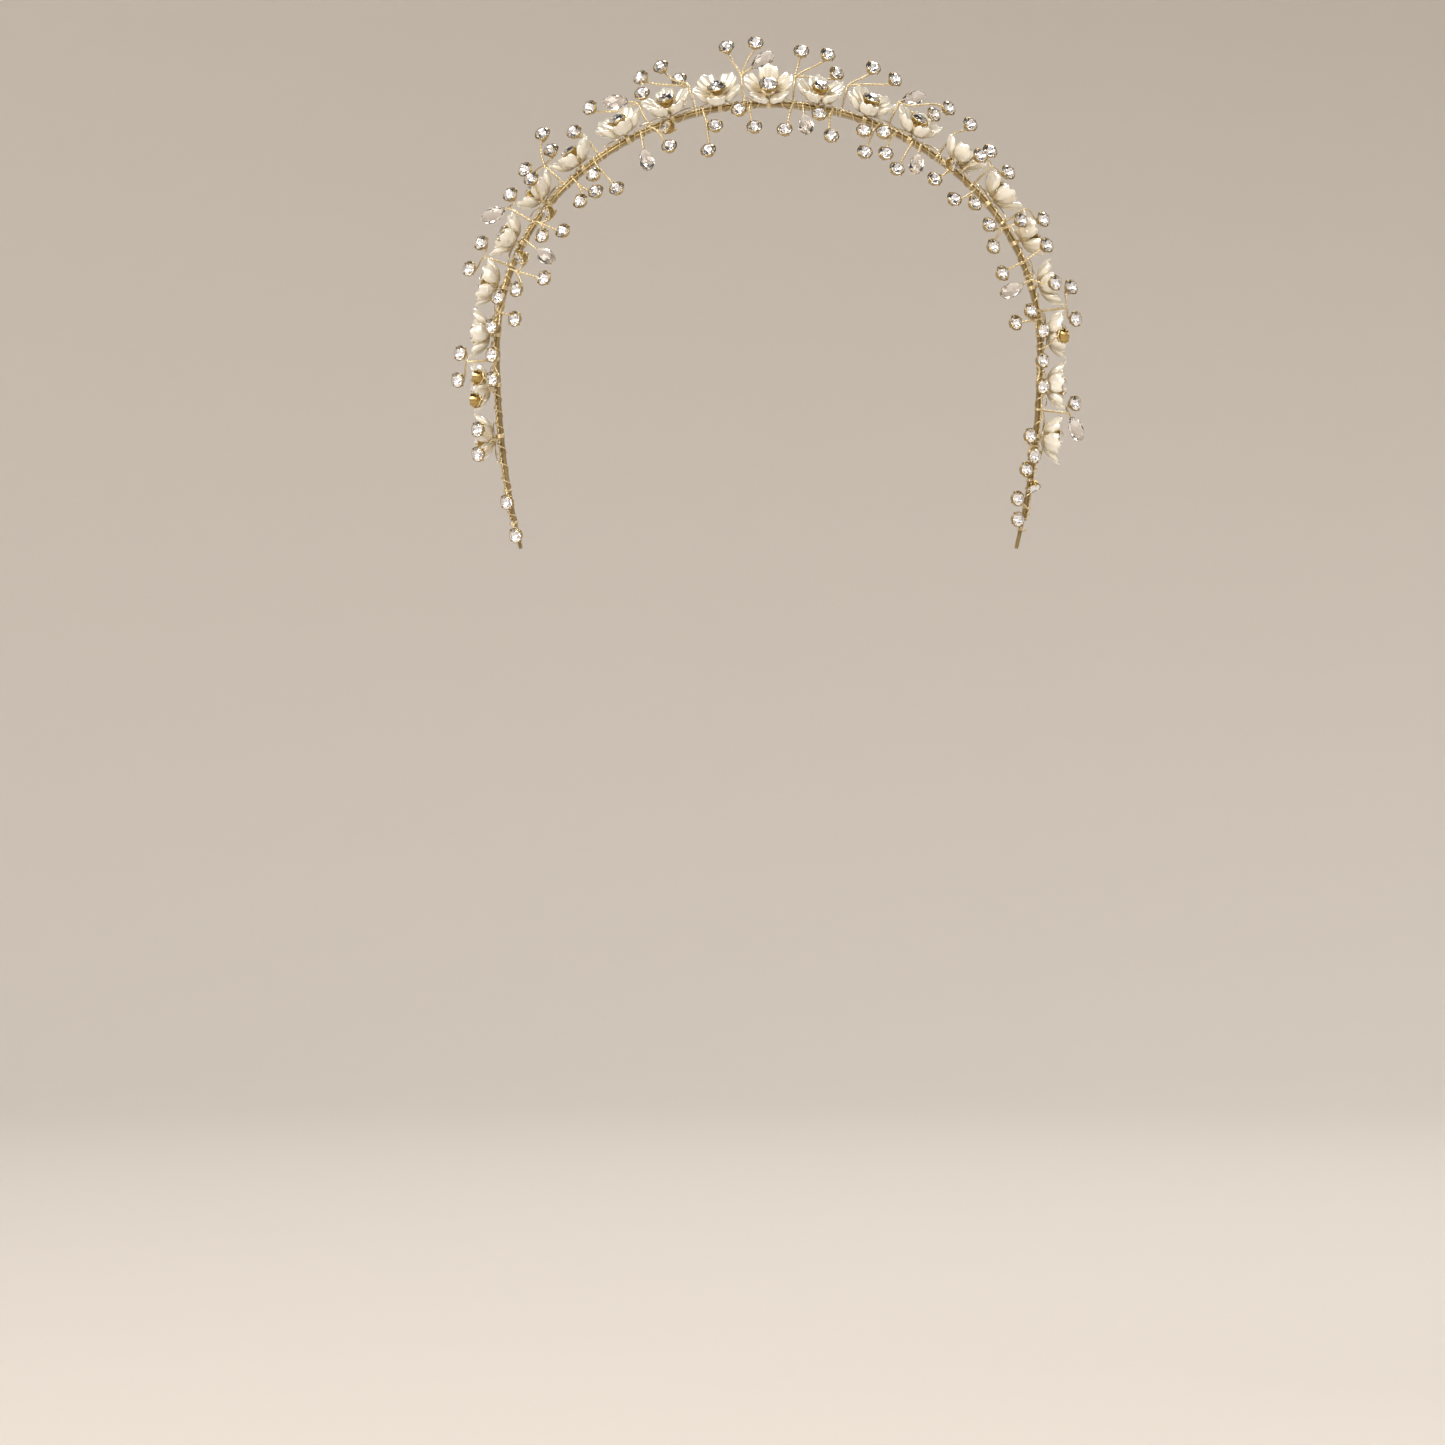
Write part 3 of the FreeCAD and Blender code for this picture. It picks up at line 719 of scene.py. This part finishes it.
def cup_mesh(radius):
    """A claw cup's corners and faces with the crystal's culet at the origin, facing +Z."""
    inner = radius + cup_clearance
    outer = inner + cup_wall
    floor, top = -cup_clearance, 0.8 * radius
    base = 0.6 * outer
    profile = [
        (0.02 * MM, floor - cup_wall), (0.8 * base, floor - cup_wall), (base, floor - 0.75 * cup_wall),
        (base + 0.5 * (outer - base), 0.36 * top), (outer - 0.06 * MM, 0.8 * top),
        (outer - 0.02 * MM, 0.9 * top), (outer, top - 0.12 * MM), (outer - 0.05 * MM, top),
        (inner + 0.03 * MM, top), (inner, top - 0.1 * MM),
        (inner - 0.06 * MM, 0.86 * top), (base - cup_wall + 0.55 * (inner - base), 0.4 * top),
        (0.8 * base, floor), (0.02 * MM, floor)]
    parts = [skin([circle(reach, height, cup_sides) for reach, height in profile])]
    crown_rise = 0.4 * radius
    # A claw's middle line from inside the wall to its tip: reach, height, and half its width in millimetres.
    spine = [(outer, 0.5 * top, 0.24), (outer + 0.03 * MM, 0.8 * top, 0.22), (outer + 0.04 * MM, top, 0.2),
             (outer, top + 0.3 * crown_rise, 0.17), (inner - 0.1 * MM, top + 0.52 * crown_rise, 0.15),
             (inner - 0.24 * MM, top + 0.7 * crown_rise, 0.12),
             (inner - 0.34 * MM, top + 0.78 * crown_rise, 0.08)]
    for claw in range(4):
        angle = math.pi / 4 + claw * math.pi / 2
        out = Vector((math.cos(angle), math.sin(angle), 0))
        across = Vector((-math.sin(angle), math.cos(angle), 0))
        rings = []
        for index, (reach, height, half) in enumerate(spine):
            before, after = spine[max(index - 1, 0)], spine[min(index + 1, len(spine) - 1)]
            onward = Vector((after[0] - before[0], after[1] - before[1])).normalized()
            normal = out * onward.y - Vector((0, 0, 1)) * onward.x
            middle = out * reach + Vector((0, 0, height)) - normal * claw_thickness * 0.4
            wide, thick = across * (half * MM), normal * claw_thickness
            rings.append([tuple(middle + wide * math.cos(t) + thick * math.sin(t)) for t in claw_turns])
        parts.append(skin(rings))
    return joined(parts)


cup_gold = plated("deep gold plated brass", "#CDB377", "#8F763C", 0.12, 0.28, 0.4 * MM)
for section, body in body_names.items():
    for kind in ("flower", "sprig"):
        cups = []
        for turn, culet, radius in crystals[section, kind]:
            corners, faces = cup_mesh(radius)
            cups.append((placed(corners, turn, culet), faces))
        piece = make_piece("%s_cups_%s" % (kind, section), joined(cups), cup_gold,
                           ["%s_%s_cups" % (section, kind)])
        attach(piece, body)

# ---- Glass drops ----
# Pressed glass drops, clear all through, cut with long facets that meet in rows of triangles.
# The wire goes through the narrow end.
drop_sides = 8
drop_flatness = 0.84


def drop_seat(corners, triangles):
    """A drop's tip, the way it points, its length and its widest radius."""
    middle = corners.mean(axis=0)
    axis = np.linalg.svd(corners - middle, full_matrices=False)[2][0]
    along = (corners - middle) @ axis
    beside = np.linalg.norm(corners - middle - np.outer(along, axis), axis=1)
    if along[beside > 0.95 * beside.max()].mean() < (along.min() + along.max()) / 2:
        axis, along = -axis, -along
    return Vector(middle + axis * along.min()), Vector(axis), along.max() - along.min(), beside.max()


def drop_mesh(length, radius):
    """A drop's corners and facets, tip at the origin and pointing along +Z, a little flatter one way."""
    rows = [(0.16, 0.0), (0.56, 0.14), (0.88, 0.34), (1.0, 0.56), (0.88, 0.78), (0.5, 0.94), (0.1, 1.0)]
    rings = []
    for index, (reach, height) in enumerate(rows):
        start = (index % 2) * math.pi / drop_sides
        ring = circle(radius * reach, length * height, drop_sides, start)
        rings.append([(x, drop_flatness * y, z) for x, y, z in ring])
    corners = np.array(rings).reshape(-1, 3)
    faces = [list(range(drop_sides))[::-1], list(range((len(rows) - 1) * drop_sides, len(rows) * drop_sides))]
    for row in range(len(rows) - 1):
        for i in range(drop_sides):
            j = (i + 1) % drop_sides
            low, low_next = row * drop_sides + i, row * drop_sides + j
            high, high_next = low + drop_sides, low_next + drop_sides
            if row % 2 == 0:
                faces += [[low, low_next, high], [low_next, high_next, high]]
            else:
                faces += [[low, high_next, high], [low, low_next, high_next]]
    return corners, faces


drop_glass = clear_glass("clear drop glass", 1.53, "#FFFAF6")
drops = {}
for section, body in body_names.items():
    seats = [drop_seat(*solid) for solid in islands(section + "_drops")]
    drops[section] = seats
    parts = []
    for tip, axis, length, radius in seats:
        corners, faces = drop_mesh(length, radius)
        turn = upright(axis, axis.cross((0.1, -1.0, 0.2)))
        parts.append((placed(corners, turn, tip), faces))
    piece = make_piece("glass_drops_" + section, joined(parts), drop_glass,
                       [section + "_drops"], smooth=False)
    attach(piece, body)

# ---- Stems ----
# Each sprig is fine wire twisted on itself, bound to the vine wires, with one to three branches that end in
# crystals or drops. The last of the wire goes across the back of each cup and in at its sides.
stem_strand = 0.18 * MM
stem_twist = 2.1 * MM
fork_share = 0.4
fork_height = 9.7 * MM
rear_depth = 5.2 * MM
knee = 1.2 * MM
stem_radius = 0.35 * MM
wire_clearance = 0.2 * MM
# In points of the trunk: where branches leave it, and how much of it the twist stops short of.
branch_lead = 15
trunk_cut = 6


def run_round(start, end, obstacles, tries=3):
    """The points of a wire from start to end, bent round each (centre, radius) that it would cut."""
    direction = end - start
    worst = 0.0
    bend = None
    for centre, radius in obstacles:
        clear = radius + stem_radius + wire_clearance
        share = min(max((centre - start).dot(direction) / direction.dot(direction), 0.0), 1.0)
        nearest = start + direction * share - centre
        if 0.02 < share < 0.98 and clear - nearest.length > worst:
            worst = clear - nearest.length
            bend = centre + nearest.normalized() * (1.15 * clear)
    if bend is None or tries == 0:
        return [start, end]
    return run_round(start, bend, obstacles, tries - 1)[:-1] + run_round(bend, end, obstacles, tries - 1)


def root_of(corners):
    """The end of a stem that is bound to the band."""
    away = np.array([math.hypot(run_of(corner)[1], corner[1]) for corner in corners])
    return Vector(corners[away < away.min() + 0.3 * MM].mean(axis=0))


def nearest_stem(stems, point):
    """The number of the stem that comes closest to a point."""
    return int(np.argmin([np.linalg.norm(corners - np.array(point), axis=1).min() for corners in stems]))


for section, body in body_names.items():
    stems = [corners for corners, triangles in islands(section + "_stems")]
    ends = [[] for stem in stems]
    for turn, culet, radius in crystals[section, "sprig"]:
        facing = turn.col[2]
        back = culet - facing * (cup_wall + cup_clearance)
        point = culet + facing * 0.8 * radius
        reach = radius + cup_clearance + cup_wall
        ends[nearest_stem(stems, back)].append((back, facing, turn.col[0], point, reach))
    for tip, axis, length, radius in drops[section]:
        ends[nearest_stem(stems, tip)].append((tip, axis, None, tip + axis * length / 2, radius))
    wires = []
    for corners, own_ends in zip(stems, ends):
        root = root_of(corners)
        if root.y > 0:
            fork = band_at(run_of(root)[0], fork_height, rear_depth)[0]
        else:
            middle = sum((end[3] for end in own_ends), Vector()) / len(own_ends)
            fork = root + (middle - root) * fork_share
        obstacles = []
        for back, facing, across, point, radius in own_ends:
            if across is None:
                obstacles += [(point + facing * shift * MM, radius) for shift in (-1.5, 1.5)]
            else:
                obstacles.append((point, radius))
        trunk = smoothed(run_round(root, fork, obstacles))
        leave = Vector(trunk[-min(len(trunk) - 1, branch_lead)])
        main = trunk[:max(len(trunk) - trunk_cut, 3)]
        for strand in twisted(main, stem_strand * 1.15, stem_twist, random.uniform(0, 6), 3):
            wires.append(tube(strand, stem_strand))
        for back, facing, across, point, radius in own_ends:
            end = back - facing * (stem_radius + 0.05 * MM)
            if across is None:
                last = [end, back + facing * 0.5 * MM]
            else:
                last = [end - facing * knee, end]
            path = [leave] + run_round(fork, last[0], obstacles) + last[1:]
            for strand in twisted(smoothed(path), stem_strand, stem_twist, random.uniform(0, 6)):
                wires.append(tube(strand, stem_strand))
            if across is not None:
                for way in (-1, 1):
                    out = across * way * MM
                    hold = [end - facing * 0.2 * MM, end + facing * 0.12 * MM + out * 0.35,
                            back - facing * 0.12 * MM + out * 1.1, back + facing * 0.3 * MM + out * 1.72,
                            back + facing * 1.0 * MM + out * 2.0]
                    wires.append(tube(smoothed(hold), stem_strand * 0.9))
    piece = make_piece("sprig_stems_" + section, joined(wires), fine_wire, [section + "_stems"])
    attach(piece, body)

# ---- Studio ----
# A plain pale floor that curves up all round, one large soft light from the upper left, and weaker ones from
# the front, the right and behind. The tiara is held where a head would hold it, well over the floor.
floor_height = -0.33
floor_flat = 1.6
floor_curve = 1.2
wall_top = 4.0
view_distance = 1.6
frame_width = 0.418
frame_middle = Vector((-0.0133, 0.0, -0.1077))


def studio_floor():
    """A round floor that curves up into a wall all round."""
    steps = np.linspace(0, math.pi / 2, 14)
    profile = [(0.02, floor_height), (floor_flat, floor_height)]
    profile += [(floor_flat + floor_curve * math.sin(a), floor_height + floor_curve * (1 - math.cos(a)))
                for a in steps[1:]]
    profile.append((floor_flat + floor_curve, wall_top))
    corners, faces = skin([circle(reach, height, 72) for reach, height in profile])
    mesh = bpy.data.meshes.new("studio_floor")
    mesh.from_pydata(corners.tolist(), [], faces[:-1])
    mesh.polygons.foreach_set("use_smooth", [True] * len(mesh.polygons))
    paper = new_material("pale backdrop paper")
    shader = add_node(paper, "ShaderNodeBsdfPrincipled", {"Base Color": linear("#DDD7D0"), "Roughness": 0.9})
    mesh.materials.append(finish_material(paper, shader))
    floor = bpy.data.objects.new("studio_floor", mesh)
    bpy.context.scene.collection.objects.link(floor)


def soft_light(name, place, size, power, colour):
    """A square soft light, in metres and watts, that faces the tiara."""
    lamp = bpy.data.lights.new(name, "AREA")
    lamp.size = size
    lamp.energy = power
    lamp.color = linear(colour)[:3]
    made = bpy.data.objects.new(name, lamp)
    made.location = place
    made.rotation_mode = "QUATERNION"
    made.rotation_quaternion = (-Vector(place)).to_track_quat("-Z", "Y")
    bpy.context.scene.collection.objects.link(made)


studio_floor()
soft_light("key", (-1.1, -1.5, 1.5), 1.3, 46.0, "#FFFAF2")
soft_light("front", (0.2, -2.2, 1.3), 1.6, 13.0, "#FFFFFF")
soft_light("fill", (1.6, -1.3, 0.9), 1.0, 7.0, "#FFF8F0")
soft_light("rim", (0.5, 1.3, 1.6), 0.7, 22.0, "#FFFFFF")
world = bpy.data.worlds.new("studio")
world.use_nodes = True
world.node_tree.nodes["Background"].inputs["Color"].default_value = linear("#D2D2D2")
world.node_tree.nodes["Background"].inputs["Strength"].default_value = 0.08
bpy.context.scene.world = world
bpy.context.scene.view_settings.view_transform = "Standard"
lens = bpy.data.cameras.new("camera")
lens.sensor_width = 36.0
lens.lens = lens.sensor_width * view_distance / frame_width
camera = bpy.data.objects.new("camera", lens)
camera.location = frame_middle - Vector((0, view_distance, 0))
camera.rotation_euler = (math.pi / 2, 0, 0)
bpy.context.scene.collection.objects.link(camera)
bpy.context.scene.camera = camera
